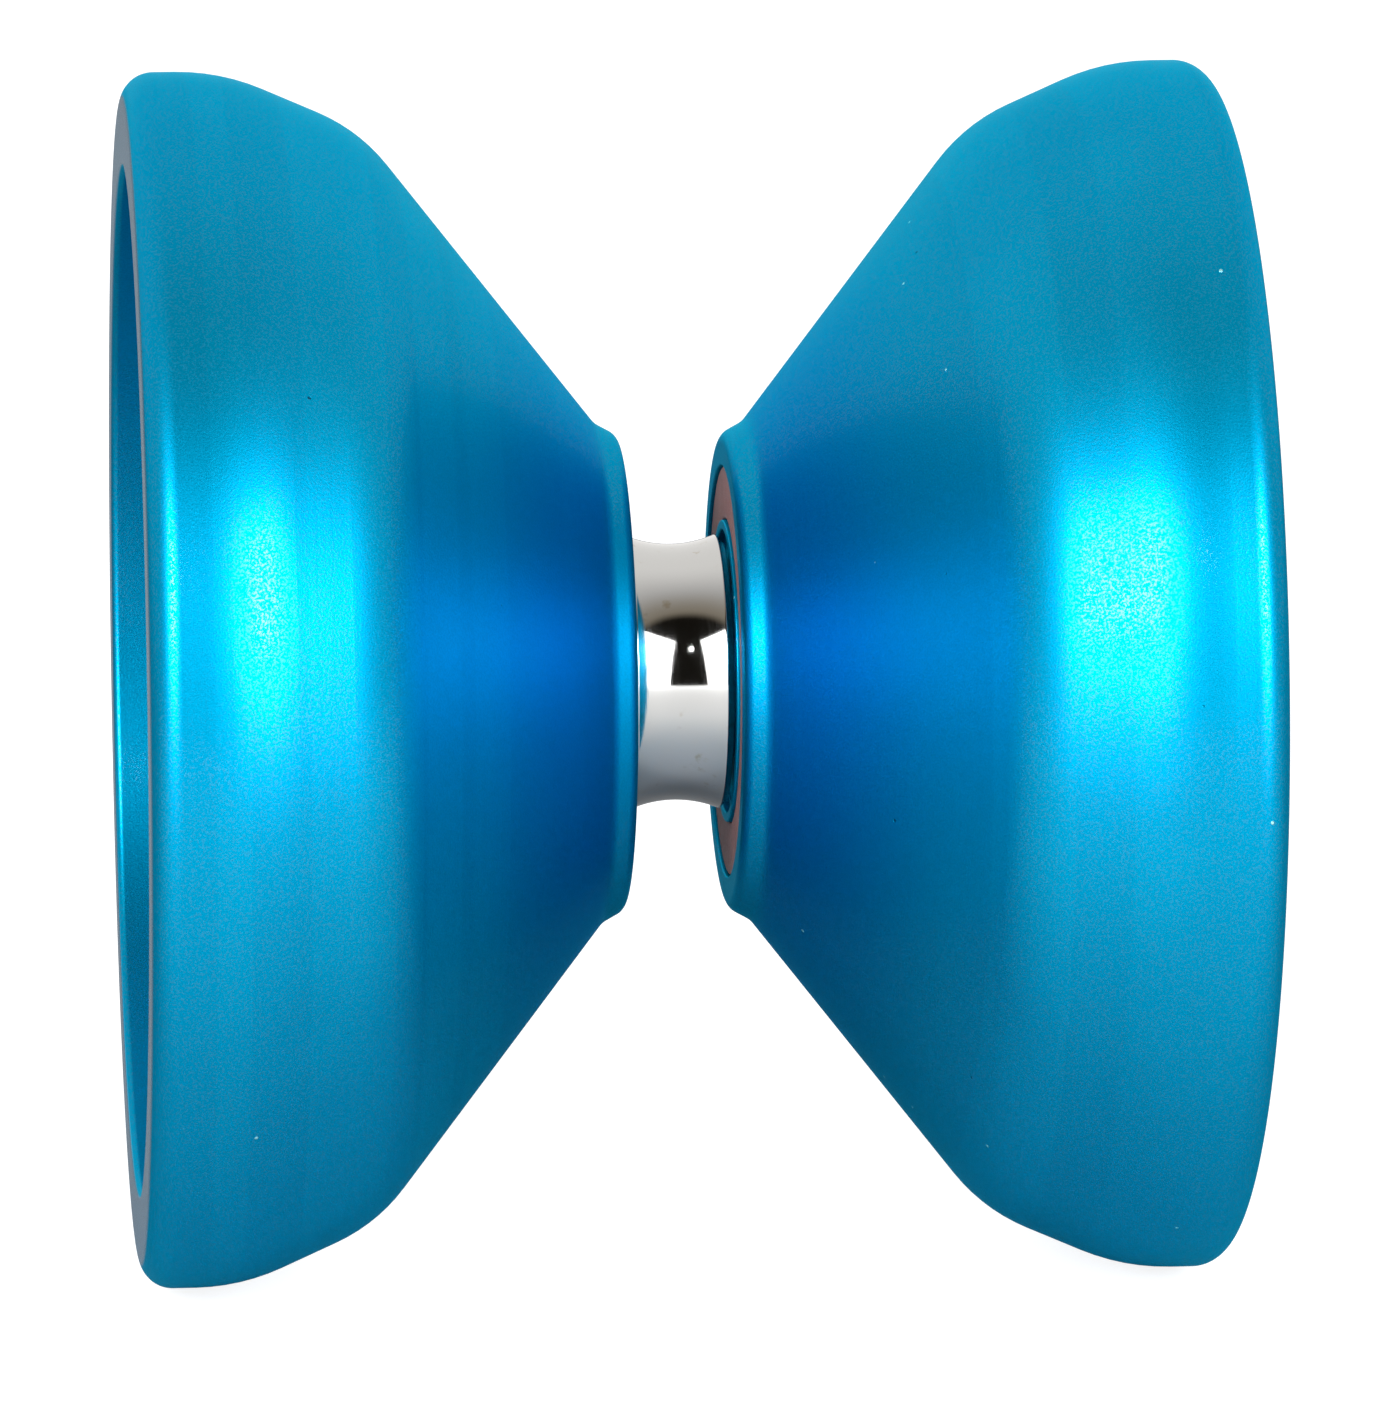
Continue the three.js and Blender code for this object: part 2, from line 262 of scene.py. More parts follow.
def turned_round(piece):
    """The same piece for the other side, turned half a turn about Z."""
    piece.data.transform(Matrix.Rotation(math.pi, 4, "Z"))
    return piece


def broken(corners, rounding=EDGE_BREAK):
    """The corners with their sharp edges broken."""
    return [corner if len(corner) > 2 else (*corner, rounding) for corner in corners]


# ---- Halves and pads ----

def half_outline():
    bore = AXLE_RADIUS + AXLE_BORE_GAP
    post = BEARING_BORE_RADIUS - POST_GAP
    recess = BEARING_OUTER_RADIUS + RECESS_GAP
    groove_floor = HUB_FACE + PAD_GROOVE_DEPTH
    inside = broken([
        (AXLE_BORE_END, bore),
        (POST_END, bore),
        (POST_END, post - POST_CHAMFER),
        (POST_END + POST_CHAMFER, post),
        (HUB_FACE, post),
        (HUB_FACE, SEAT_RADIUS),
        (HUB_FACE + RECESS_DEPTH, SEAT_RADIUS),
        (HUB_FACE + RECESS_DEPTH, recess),
        (HUB_FACE, recess, RECESS_CHAMFER),
        (HUB_FACE, PAD_INNER_RADIUS, GROOVE_INNER_BREAK),
        (groove_floor, PAD_INNER_RADIUS),
        (groove_floor, PAD_OUTER_RADIUS),
        (HUB_FACE, PAD_OUTER_RADIUS, GROOVE_OUTER_BREAK),
    ])
    outside = [HUB_CORNER, HUB_LAND, CONE_TOP, BAND_TOP, RIM_CORNER, CUP_MOUTH]
    cup = [CUP_WALL, CUP_FLOOR, BOSS_FOOT, BOSS_TOP, (BOSS_TOP[0], BOSS_DIMPLE_RADIUS, EDGE_BREAK)]
    dimple = (BOSS_TOP[0] - BOSS_DIMPLE_DEPTH, 0.0)
    return rounded([(AXLE_BORE_END + DRILL_TIP, 0.0), *inside, *outside, *cup, dimple])


def half(name):
    return turned(name, half_outline(), HALF_SEGMENTS)


def pad(name):
    front = HUB_FACE + PAD_SUNK
    back = HUB_FACE + PAD_GROOVE_DEPTH - PAD_FIT
    inner = PAD_INNER_RADIUS + PAD_FIT
    outer = PAD_OUTER_RADIUS - PAD_FIT
    outline = rounded([
        (front, inner, PAD_ROUNDING),
        (front, outer, PAD_ROUNDING),
        (back, outer, EDGE_BREAK),
        (back, inner, EDGE_BREAK),
    ], closed=True)
    return turned(name, outline, PAD_SEGMENTS, closed=True)


# ---- Axle ----

def thread_radius(along, radius, angle):
    """How far the thread's flank reaches at this place, never above the plain rod or its chamfer."""
    turns = along / THREAD_PITCH - angle / (2 * math.pi)
    phase = abs((turns % 1.0) - 0.5) * 2
    depth = THREAD_DEPTH * min(1.0, max(0.0, (phase - THREAD_CREST) / THREAD_FLANK))
    return min(radius, AXLE_RADIUS - depth)


def axle(name):
    """A fully threaded rod with chamfered ends and a hexagon socket in its +X end."""
    end = AXLE_LENGTH / 2
    bm = bmesh.new()
    rows = round(AXLE_LENGTH / THREAD_PITCH * THREAD_STEPS_PER_PITCH)
    rings = []
    for row in range(rows + 1):
        along = -end + AXLE_LENGTH * row / rows
        limit = AXLE_RADIUS - AXLE_CHAMFER + min(AXLE_CHAMFER, end - abs(along))
        ring = []
        for step in range(THREAD_SEGMENTS):
            angle = 2 * math.pi * step / THREAD_SEGMENTS
            ring.append(bm.verts.new(on_circle(along, thread_radius(along, limit, angle), angle)))
        rings.append(ring)
    for along in (end, end - HEX_DEPTH):
        ring = []
        for step in range(THREAD_SEGMENTS):
            angle = 2 * math.pi * step / THREAD_SEGMENTS
            from_flat = (angle + math.pi / 6) % (math.pi / 3) - math.pi / 6
            to_flat = HEX_ACROSS_FLATS / 2 / math.cos(from_flat)
            ring.append(bm.verts.new(on_circle(along, to_flat, angle)))
        rings.append(ring)
    for lower, upper in zip(rings, rings[1:]):
        for step in range(THREAD_SEGMENTS):
            after = (step + 1) % THREAD_SEGMENTS
            bm.faces.new((lower[step], lower[after], upper[after], upper[step]))
    for ring, along in ((rings[0], -end), (rings[-1], end - HEX_DEPTH - HEX_ACROSS_FLATS / 4)):
        pole = bm.verts.new((along * MM, 0, 0))
        for step in range(THREAD_SEGMENTS):
            bm.faces.new((ring[step], ring[(step + 1) % THREAD_SEGMENTS], pole))
    piece = finish_mesh(name, bm)
    piece.data.set_sharp_from_angle(angle=THREAD_CREASE)
    return piece


# ---- Bearing ----

def raceway(land_radius):
    """Corners of a raceway, from its -X land to its +X land."""
    groove = BALL_RADIUS + RACEWAY_GAP
    reach = math.acos(abs(land_radius - PITCH_RADIUS) / groove)
    if land_radius < PITCH_RADIUS:
        return arc(0, PITCH_RADIUS, groove, math.pi + reach, math.pi - reach, RACEWAY_STEPS)
    return arc(0, PITCH_RADIUS, groove, -reach, reach, RACEWAY_STEPS)


def inner_ring(name):
    ends = BEARING_HALF_WIDTH
    outline = rounded([
        (-ends, BEARING_BORE_RADIUS, BORE_ROUNDING),
        (-ends, INNER_LAND_RADIUS, EDGE_BREAK),
        *raceway(INNER_LAND_RADIUS),
        (ends, INNER_LAND_RADIUS, EDGE_BREAK),
        (ends, BEARING_BORE_RADIUS, BORE_ROUNDING),
    ], closed=True)
    return turned(name, outline, BEARING_SEGMENTS, closed=True)


def counterbore():
    """The shield's seat and the snap ring's groove, from the +X end of the outer ring inwards."""
    bore = SHIELD_RADIUS + CLOSURE_GAP
    groove = SNAP_RING_RADIUS + CLOSURE_GAP
    return [
        (BEARING_HALF_WIDTH, bore),
        (SNAP_GROOVE_END, bore),
        (SNAP_GROOVE_END, groove),
        (SNAP_GROOVE_START, groove),
        (SNAP_GROOVE_START, bore),
        (SHIELD_SEAT, bore),
        (SHIELD_SEAT, OUTER_LAND_RADIUS),
    ]


def waist():
    """The waisted outside: an arc through both edges and the narrower middle."""
    edge = BEARING_HALF_WIDTH - RING_CHAMFER
    radius = (edge ** 2 + WAIST_DEPTH ** 2) / (2 * WAIST_DEPTH)
    reach = math.asin(edge / radius)
    centre = BEARING_OUTER_RADIUS - WAIST_DEPTH + radius
    corners = arc(0, centre, radius, math.pi + reach, math.pi - reach, WAIST_STEPS)
    corners[0] = (*corners[0], WAIST_END_ROUNDING)
    corners[-1] = (*corners[-1], WAIST_END_ROUNDING)
    return corners


def outer_ring(name):
    bore = counterbore()
    mirrored = [(-along, radius) for along, radius in reversed(bore)]
    end_radius = BEARING_OUTER_RADIUS - RING_CHAMFER
    outline = rounded([
        (-BEARING_HALF_WIDTH, end_radius, RING_EDGE_BREAK),
        *waist(),
        (BEARING_HALF_WIDTH, end_radius, RING_EDGE_BREAK),
        *broken(bore, COUNTERBORE_EDGE_BREAK),
        *reversed(raceway(OUTER_LAND_RADIUS)),
        *broken(mirrored, COUNTERBORE_EDGE_BREAK),
    ], closed=True)
    return turned(name, outline, BEARING_SEGMENTS, closed=True)


def ball_place(index):
    angle = 2 * math.pi * index / BALL_COUNT
    return on_circle(0, PITCH_RADIUS, angle)


def ball(name, index):
    bm = bmesh.new()
    bmesh.ops.create_icosphere(bm, subdivisions=BALL_SUBDIVISIONS, radius=BALL_RADIUS * MM)
    bmesh.ops.translate(bm, verts=bm.verts, vec=ball_place(index))
    return finish_mesh(name, bm)


def pocket_rays(sector):
    """Rays from a ball's centre across one sector of the cage, unrolled flat: (pocket edge, outside)."""
    pocket = BALL_RADIUS + POCKET_GAP
    opening = math.acos(CAGE_MOUTH / pocket)
    rays = []
    for step in range(POCKET_STEPS + 1):
        angle = opening + (2 * math.pi - 2 * opening) * step / POCKET_STEPS
        direction = Vector((math.sin(angle), math.cos(angle)))
        reaches = []
        if direction.x:
            reaches.append(sector / abs(direction.x))
        if direction.y:
            reaches.append((CAGE_MOUTH if direction.y > 0 else CAGE_BACK) / direction.y)
        rays.append((direction * pocket, direction * min(reaches)))
    return rays


def cage(name):
    """A crown cage: a thin ring whose round pockets each open towards +X."""
    sector = PITCH_RADIUS * math.pi / BALL_COUNT
    bm = bmesh.new()
    for index in range(BALL_COUNT):
        middle = 2 * math.pi * index / BALL_COUNT
        rows = []
        for edge, outside in pocket_rays(sector):
            row = []
            for share in (0.0, 0.5, 1.0):
                flat = edge.lerp(outside, share)
                for radius in (CAGE_BORE_RADIUS, CAGE_RADIUS):
                    row.append(bm.verts.new(on_circle(flat.y, radius, middle + flat.x / PITCH_RADIUS)))
            rows.append((row, outside))
        for (row, outside), (after, outside_after) in zip(rows, rows[1:]):
            for inner in (0, 1):
                for share in (0, 2):
                    bm.faces.new((row[share + inner], row[share + 2 + inner],
                                  after[share + 2 + inner], after[share + inner]))
            bm.faces.new((row[0], row[1], after[1], after[0]))
            on_seam = all(abs(abs(point.x) - sector) < WELD for point in (outside, outside_after))
            if not on_seam:
                bm.faces.new((row[4], row[5], after[5], after[4]))
    bmesh.ops.remove_doubles(bm, verts=bm.verts, dist=WELD * MM)
    bmesh.ops.dissolve_degenerate(bm, dist=WELD * MM, edges=bm.edges)
    piece = finish_mesh(name, bm)
    piece.data.set_sharp_from_angle(angle=CAGE_CREASE)
    return piece


def shield(name):
    seat = SHIELD_SEAT + CLOSURE_END_GAP
    dish = seat + SHIELD_THICKNESS
    dish_start = SHIELD_RADIUS - SHIELD_FLANGE_WIDTH
    dish_end = dish_start - SHIELD_STEP_WIDTH
    outline = rounded(broken([
        (seat, dish_start),
        (seat, SHIELD_RADIUS),
        (seat + SHIELD_THICKNESS, SHIELD_RADIUS),
        (seat + SHIELD_THICKNESS, dish_start),
        (dish + SHIELD_THICKNESS, dish_end),
        (dish + SHIELD_THICKNESS, SHIELD_BORE_RADIUS),
        (dish, SHIELD_BORE_RADIUS),
        (dish, dish_end),
    ], SHEET_EDGE_BREAK), closed=True)
    return turned(name, outline, BEARING_SEGMENTS, closed=True)


def snap_ring(name):
    """A flat spring ring with a gap in it."""
    start = SNAP_GROOVE_START + CLOSURE_END_GAP
    section = rounded(broken([
        (start, SNAP_RING_BORE_RADIUS),
        (start, SNAP_RING_RADIUS),
        (start + SNAP_RING_THICKNESS, SNAP_RING_RADIUS),
        (start + SNAP_RING_THICKNESS, SNAP_RING_BORE_RADIUS),
    ], SHEET_EDGE_BREAK), closed=True)
    bm = bmesh.new()
    sweep = 2 * math.pi - SNAP_RING_OPENING
    first = (math.pi + SNAP_RING_OPENING) / 2
    rings = []
    for step in range(SNAP_RING_STEPS + 1):
        angle = first + sweep * step / SNAP_RING_STEPS
        rings.append([bm.verts.new(on_circle(along, radius, angle)) for along, radius in section])
    for ring, after in zip(rings, rings[1:]):
        for index in range(len(section)):
            other = (index + 1) % len(section)
            bm.faces.new((ring[index], ring[other], after[other], after[index]))
    bm.faces.new(rings[0])
    bm.faces.new(list(reversed(rings[-1])))
    piece = finish_mesh(name, bm)
    piece.data.set_sharp_from_angle(angle=SNAP_RING_CREASE)
    return piece


# ---- Materials ----

class Shader:
    """A material with one Principled shader, and short calls for the nodes that feed it."""

    def __init__(self, name, **constants):
        self.material = bpy.data.materials.new(name)
        self.material.use_nodes = True
        self.tree = self.material.node_tree
        self.bsdf = self.tree.nodes["Principled BSDF"]
        for socket, value in constants.items():
            self.bsdf.inputs[socket.replace("_", " ").title().replace("Ior", "IOR")].default_value = value
        self.position = self.node("ShaderNodeTexCoord").outputs["Object"]

    def node(self, kind, **settings):
        made = self.tree.nodes.new(kind)
        for name, value in settings.items():
            setattr(made, name, value)
        return made

    def wire(self, value, socket):
        """Links a node's output to a socket, or sets the socket to a constant."""
        if isinstance(value, bpy.types.NodeSocket):
            self.tree.links.new(value, socket)
        else:
            socket.default_value = value

    def math(self, operation, *values):
        made = self.node("ShaderNodeMath", operation=operation)
        for value, socket in zip(values, made.inputs):
            self.wire(value, socket)
        return made.outputs[0]

    def scaled(self, vector, factors):
        made = self.node("ShaderNodeVectorMath", operation="MULTIPLY")
        self.wire(vector, made.inputs[0])
        made.inputs[1].default_value = factors
        return made.outputs[0]

    def turned_position(self):
        """(along the axle, radius, angle), in metres and radians."""
        along, across, height = self.split(self.position)
        radius = self.math("SQRT", self.math("ADD", self.math("MULTIPLY", across, across),
                                             self.math("MULTIPLY", height, height)))
        angle = self.math("ARCTAN2", across, height)
        joined = self.node("ShaderNodeCombineXYZ")
        for value, socket in zip((along, radius, angle), joined.inputs):
            self.wire(value, socket)
        return joined.outputs[0]

    def noise(self, vector, grain, detail=2.0, roughness=0.5):
        """Noise whose grain is about this many millimetres."""
        made = self.node("ShaderNodeTexNoise")
        self.wire(vector, made.inputs["Vector"])
        made.inputs["Scale"].default_value = 1.0 / (grain * MM)
        made.inputs["Detail"].default_value = detail
        made.inputs["Roughness"].default_value = roughness
        return made.outputs["Fac"]

    def ramp(self, value, low, high, out_low=0.0, out_high=1.0):
        made = self.node("ShaderNodeMapRange", interpolation_type="SMOOTHSTEP")
        for given, name in ((value, "Value"), (low, "From Min"), (high, "From Max"),
                            (out_low, "To Min"), (out_high, "To Max")):
            self.wire(given, made.inputs[name])
        return made.outputs["Result"]

    def mix(self, factor, first, second):
        made = self.node("ShaderNodeMix", data_type="RGBA")
        for given, index in ((factor, 0), (first, 6), (second, 7)):
            self.wire(given, made.inputs[index])
        return made.outputs[2]

    def bump(self, height, depth, under=None):
        """A bump of this many millimetres, over another one if given."""
        made = self.node("ShaderNodeBump")
        made.inputs["Distance"].default_value = depth * MM
        self.wire(height, made.inputs["Height"])
        if under:
            self.wire(under, made.inputs["Normal"])
        return made.outputs["Normal"]

    def nick(self, offset, spacing, size):
        """1 inside small marks of this size, strewn about a spacing apart in space, in millimetres."""
        shifted = self.node("ShaderNodeVectorMath", operation="ADD")
        self.wire(self.position, shifted.inputs[0])
        shifted.inputs[1].default_value = offset
        cells = self.node("ShaderNodeTexVoronoi")
        self.wire(shifted.outputs[0], cells.inputs["Vector"])
        cells.inputs["Scale"].default_value = 1.0 / (spacing * MM)
        edge = size / spacing
        return self.ramp(cells.outputs["Distance"], 0.7 * edge, 1.2 * edge, 1.0, 0.0)

    def split(self, vector):
        made = self.node("ShaderNodeSeparateXYZ")
        self.wire(vector, made.inputs[0])
        return made.outputs

    def set(self, **values):
        """Feeds the shader's own sockets, named in small letters with underscores."""
        for socket, value in values.items():
            self.wire(value, self.bsdf.inputs[socket.replace("_", " ").title()])


# Shades of the blue metal
BLUE = (0.0, 0.268, 0.475, 1.0)
PALE_BLUE = (0.0, 0.292, 0.505, 1.0)
BAND_BLUE = (0.0, 0.236, 0.432, 1.0)
PIT_BLUE = (0.0, 0.15, 0.27, 1.0)
# Painted shade: the deeper blue near the hub, where the two halves face each other
CONE_PAINTED_SHADE_BLUE = (0.0, 0.165, 0.46, 1.0)
BRIGHT_NICK = (0.35, 0.7, 0.75, 1.0)
DARK_NICK = (0.0, 0.06, 0.12, 1.0)
BLUE_EDGE_TINT = (0.0, 0.85, 1.0, 1.0)
END_FACE_EDGE_TINT = (0.95, 0.97, 1.0, 1.0)


def blue_dye(shader, turned_place, grain, from_middle):
    """The blue: clouded, in faint turned bands and darker in the blasted pits, with painted shade: a
    deeper blue on the conical slope near the hub, where the two halves face each other.
    """
    cloud = shader.noise(shader.position, 9.0, detail=3.0)
    bands = shader.noise(shader.scaled(turned_place, (1.0, 1.0, 0.0)), 4.5, detail=0.0)
    # Painted shade: the blue turns deeper on the conical slope near the hub, between the two halves
    hub_end, cone_start, cone_end = HUB_LAND[0] - 0.3, HUB_LAND[0] + 0.5, 11.0
    painted_hub_shade = shader.math("MULTIPLY", shader.ramp(from_middle, hub_end * MM, cone_start * MM),
                       shader.ramp(from_middle, cone_start * MM, cone_end * MM, 0.7, 0.0))
    tone = shader.mix(shader.ramp(cloud, 0.3, 0.7), BLUE, PALE_BLUE)
    tone = shader.mix(shader.ramp(bands, 0.49, 0.51, 0.0, 0.35), tone, BAND_BLUE)
    tone = shader.mix(shader.ramp(grain, 0.35, 0.65, 0.0, 0.22), tone, PIT_BLUE)
    return shader.mix(painted_hub_shade, tone, CONE_PAINTED_SHADE_BLUE)


def anodised_aluminium():
    """Blasted and anodised aluminium: a blue metal under a thin clear oxide that glints in fine grains."""
    shader = Shader("anodised_aluminium", metallic=1.0, coat_roughness=0.17, coat_ior=4.0)
    turned_place = shader.turned_position()
    rings = shader.noise(shader.scaled(turned_place, (1.0, 1.0, 0.0002)), 0.35, detail=3.0)
    grain = shader.noise(shader.position, 0.1, detail=1.0)
    from_middle = shader.math("ABSOLUTE", shader.split(shader.position)[0])
    bright_nick = shader.nick((0.0, 0.0, 0.0), 3.3, 0.09)
    dark_nick = shader.nick((0.013, 0.007, 0.029), 4.2, 0.08)
    tone = blue_dye(shader, turned_place, grain, from_middle)
    tone = shader.mix(bright_nick, tone, BRIGHT_NICK)
    tone = shader.mix(dark_nick, tone, DARK_NICK)
    end_face = shader.ramp(from_middle, (HALF_WIDTH - 0.12) * MM, (HALF_WIDTH - 0.02) * MM)
    smoothing = shader.ramp(end_face, 0.0, 1.0, 1.0, 0.45)
    blasted = shader.bump(grain, 0.006)
    grooved = shader.bump(rings, 0.003, under=blasted)
    nicked = shader.bump(shader.math("SUBTRACT", bright_nick, dark_nick), 0.03, under=grooved)
    shader.set(
        base_color=tone,
        specular_tint=shader.mix(end_face, BLUE_EDGE_TINT, END_FACE_EDGE_TINT),
        roughness=shader.math("MULTIPLY", shader.ramp(grain, 0.2, 0.8, 0.41, 0.48), smoothing),
        normal=nicked,
        coat_weight=shader.ramp(grain, 0.49, 0.61, 0.0, 0.055),
        coat_normal=shader.bump(grain, 0.0025),
    )
    return shader.material


# Shades of the other materials
STAIN_BROWN = (0.36, 0.30, 0.20, 1.0)
DARK_SHEET = (0.44, 0.44, 0.46, 1.0)
PALE_SHEET = (0.56, 0.56, 0.58, 1.0)
DARK_SPRING = (0.28, 0.28, 0.31, 1.0)
PALE_SPRING = (0.38, 0.37, 0.38, 1.0)
BLACK_OXIDE = (0.028, 0.028, 0.031, 1.0)
RUBBED_STEEL = (0.2, 0.19, 0.18, 1.0)
DARK_SILICONE = (0.20, 0.088, 0.082, 1.0)
PALE_SILICONE = (0.255, 0.118, 0.11, 1.0)


def polished_steel(name, colour, smooth, wear):
    """Ground and polished bearing steel, with faint grinding lines and small stains."""
    shader = Shader(name, metallic=1.0)
    turned_place = shader.turned_position()
    lines = shader.noise(shader.scaled(turned_place, (1.0, 1.0, 0.0004)), 0.05, detail=2.0)
    blotches = shader.noise(shader.position, 1.1, detail=4.0, roughness=0.6)
    stain = shader.ramp(blotches, 0.62, 0.75, 0.0, wear)
    shader.set(
        base_color=shader.mix(stain, (*colour, 1.0), STAIN_BROWN),
        roughness=shader.ramp(lines, 0.3, 0.7, smooth, smooth + 0.05),
        normal=shader.bump(lines, 0.0006),
    )
    return shader.material


def stamped_steel():
    """Thin bright sheet, pressed, with a brushed look round the axle."""
    shader = Shader("stamped_steel", metallic=1.0)
    lines = shader.noise(shader.scaled(shader.turned_position(), (1.0, 1.0, 0.0006)), 0.08, detail=3.0)
    shader.set(
        base_color=shader.mix(shader.ramp(lines, 0.3, 0.7), DARK_SHEET, PALE_SHEET),
        roughness=shader.ramp(lines, 0.3, 0.7, 0.24, 0.36),
        normal=shader.bump(lines, 0.002),
    )
    return shader.material


def spring_steel():
    """Flat wire with a grey tempered skin."""
    shader = Shader("spring_steel", metallic=1.0)
    skin = shader.noise(shader.position, 0.4, detail=4.0)
    shader.set(
        base_color=shader.mix(shader.ramp(skin, 0.35, 0.65), DARK_SPRING, PALE_SPRING),
        roughness=shader.ramp(skin, 0.3, 0.7, 0.26, 0.4),
        normal=shader.bump(skin, 0.002),
    )
    return shader.material


def blackened_steel():
    """Black oxide, rubbed brighter along the thread's crests."""
    shader = Shader("blackened_steel", metallic=1.0)
    radius = shader.split(shader.turned_position())[1]
    crest = shader.ramp(radius, (AXLE_RADIUS - 0.05) * MM, AXLE_RADIUS * MM, 0.0, 0.8)
    skin = shader.noise(shader.position, 0.25, detail=4.0)
    shader.set(
        base_color=shader.mix(shader.math("MULTIPLY", crest, skin), BLACK_OXIDE, RUBBED_STEEL),
        roughness=shader.ramp(skin, 0.3, 0.7, 0.32, 0.5),
        normal=shader.bump(skin, 0.004),
    )
    return shader.material


def silicone():
    """Cast silicone rubber, reddish brown and matte, with a faintly mottled skin."""
    shader = Shader("silicone", subsurface_weight=0.12, subsurface_scale=0.0006, specular_ior_level=0.4)
    mottle = shader.noise(shader.position, 1.6, detail=4.0)
    skin = shader.noise(shader.position, 0.07, detail=2.0)
    shader.set(
        base_color=shader.mix(shader.ramp(mottle, 0.3, 0.7), DARK_SILICONE, PALE_SILICONE),
        roughness=shader.ramp(skin, 0.3, 0.7, 0.52, 0.7),
        normal=shader.bump(skin, 0.006),
    )
    return shader.material


# ---- Pieces on their bodies ----

def stand_in(piece, node, body, material):
    piece.data.materials.append(material)
    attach(piece, body)
    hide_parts(node)


def build():
    blue = anodised_aluminium()
    rubber = silicone()
    sheet = stamped_steel()
    spring = spring_steel()
    ring_steel = polished_steel("polished_steel", (0.54, 0.535, 0.525), 0.05, 0.6)
    ball_steel = polished_steel("ball_steel", (0.78, 0.78, 0.80), 0.03, 0.0)
    for side, turn in (("left", turned_round), ("right", lambda piece: piece)):
        stand_in(turn(half(f"{side}_half_turned")), f"{side}_half", "halves", blue)
        stand_in(turn(pad(f"{side}_pad_cast")), f"{side}_response_pad", "halves", rubber)
        stand_in(turn(shield(f"{side}_shield_pressed")), f"{side}_bearing_shield", "outer_ring",
                 sheet)
        stand_in(turn(snap_ring(f"{side}_snap_ring_wire")), f"{side}_snap_ring", "outer_ring",
                 spring)
    stand_in(axle("axle_threaded"), "axle", "halves", blackened_steel())
    stand_in(inner_ring("inner_ring_ground"), "bearing_inner_ring", "halves", ring_steel)
    stand_in(outer_ring("outer_ring_waisted"), "bearing_outer_ring", "outer_ring",
             ring_steel)
    stand_in(cage("cage_crown"), "bearing_cage", "cage", sheet)
    for index in range(BALL_COUNT):
        number = f"{index + 1:02d}"
        stand_in(ball(f"ball_{number}_polished", index), f"bearing_ball_{number}", f"ball_{number}",
                 ball_steel)


# ---- Studio ----

# Degrees and millimetres, but metres for the clip, the lamps and the floor
CAMERA_AZIMUTH = -5.0
CAMERA_ELEVATION = 11.3
CAMERA_DISTANCE = 500.0
CAMERA_LENS = 274.6
CAMERA_RIGHT = 1.31
CAMERA_UP = -1.68
CAMERA_SENSOR = 36.0
CAMERA_CLIP = (0.01, 20.0)

SIDE_AZIMUTHS = {"right": 33, "left": -36}
SIDE_SOFTBOX = {"elevation": 16, "distance": 1.0, "width": 0.60, "height": 0.86, "radiance": 4.3}
SIDE_LAMP = {"elevation": 24, "distance": 0.95, "width": 0.22, "height": 0.31, "radiance": 25.0}
TOP_LAMP = {"elevation": 31, "distance": 1.0, "width": 0.05, "height": 0.05, "radiance": 20.0}

# How the tent changes with the Y of a direction: first Y, last Y, value at the first, value at the last
TENT_LIGHT = (-0.5, 0.5, 0.35, 1.1)
TENT_DARK_SIDE = (-0.52, -0.38, 0.03, 1.0)
TENT_WARM_SIDE = (-0.5, 0.0, 1.0, 0.0)
TENT_WHITE = (1.0, 0.99, 0.97, 1.0)
TENT_CREAM = (0.9, 0.78, 0.6, 1.0)

FLOOR_HALF_SIZE = 1.6
# Painted light and shadow on the floor: pale in front of the yo-yo, grey under and behind it
FLOOR_PAINTED_SHADOW_GREY = (0.31, 0.32, 0.335, 1.0)
FLOOR_PAINTED_LIGHT_GREY = (0.76, 0.77, 0.78, 1.0)
FLOOR_GREY_CHANGE = (-0.06, 0.02)
FLOOR_GLOW = 0.85


def towards(azimuth, elevation):
    """Unit vector from the yo-yo: azimuth 0 is -Y, the camera's side, and 90 is +X."""
    round_z, up = math.radians(azimuth), math.radians(elevation)
    return Vector((math.sin(round_z) * math.cos(up), -math.cos(round_z) * math.cos(up), math.sin(up)))


def camera():
    data = bpy.data.cameras.new("camera")
    data.lens = CAMERA_LENS
    data.sensor_width = CAMERA_SENSOR
    data.clip_start, data.clip_end = CAMERA_CLIP
    cam = bpy.data.objects.new("camera", data)
    back = towards(CAMERA_AZIMUTH, CAMERA_ELEVATION)
    turn = (-back).to_track_quat("-Z", "Y")
    right, up = turn @ Vector((1, 0, 0)), turn @ Vector((0, 1, 0))
    cam.rotation_mode = "QUATERNION"
    cam.rotation_quaternion = turn
    cam.location = (back * CAMERA_DISTANCE + right * CAMERA_RIGHT + up * CAMERA_UP) * MM
    bpy.context.scene.collection.objects.link(cam)
    bpy.context.scene.camera = cam


def softbox(name, azimuth, elevation, distance, width, height, radiance):
    """A rectangular lamp that faces the yo-yo. Sizes in metres; radiance is what a mirror would show."""
    data = bpy.data.lights.new(name, "AREA")
    data.shape = "RECTANGLE"
    data.size, data.size_y = width, height
    data.energy = radiance * math.pi * width * height
    lamp = bpy.data.objects.new(name, data)
    lamp.location = towards(azimuth, elevation) * distance
    lamp.rotation_mode = "QUATERNION"
    lamp.rotation_quaternion = towards(azimuth, elevation).to_track_quat("Z", "Y")
    lamp.visible_camera = False
    bpy.context.scene.collection.objects.link(lamp)


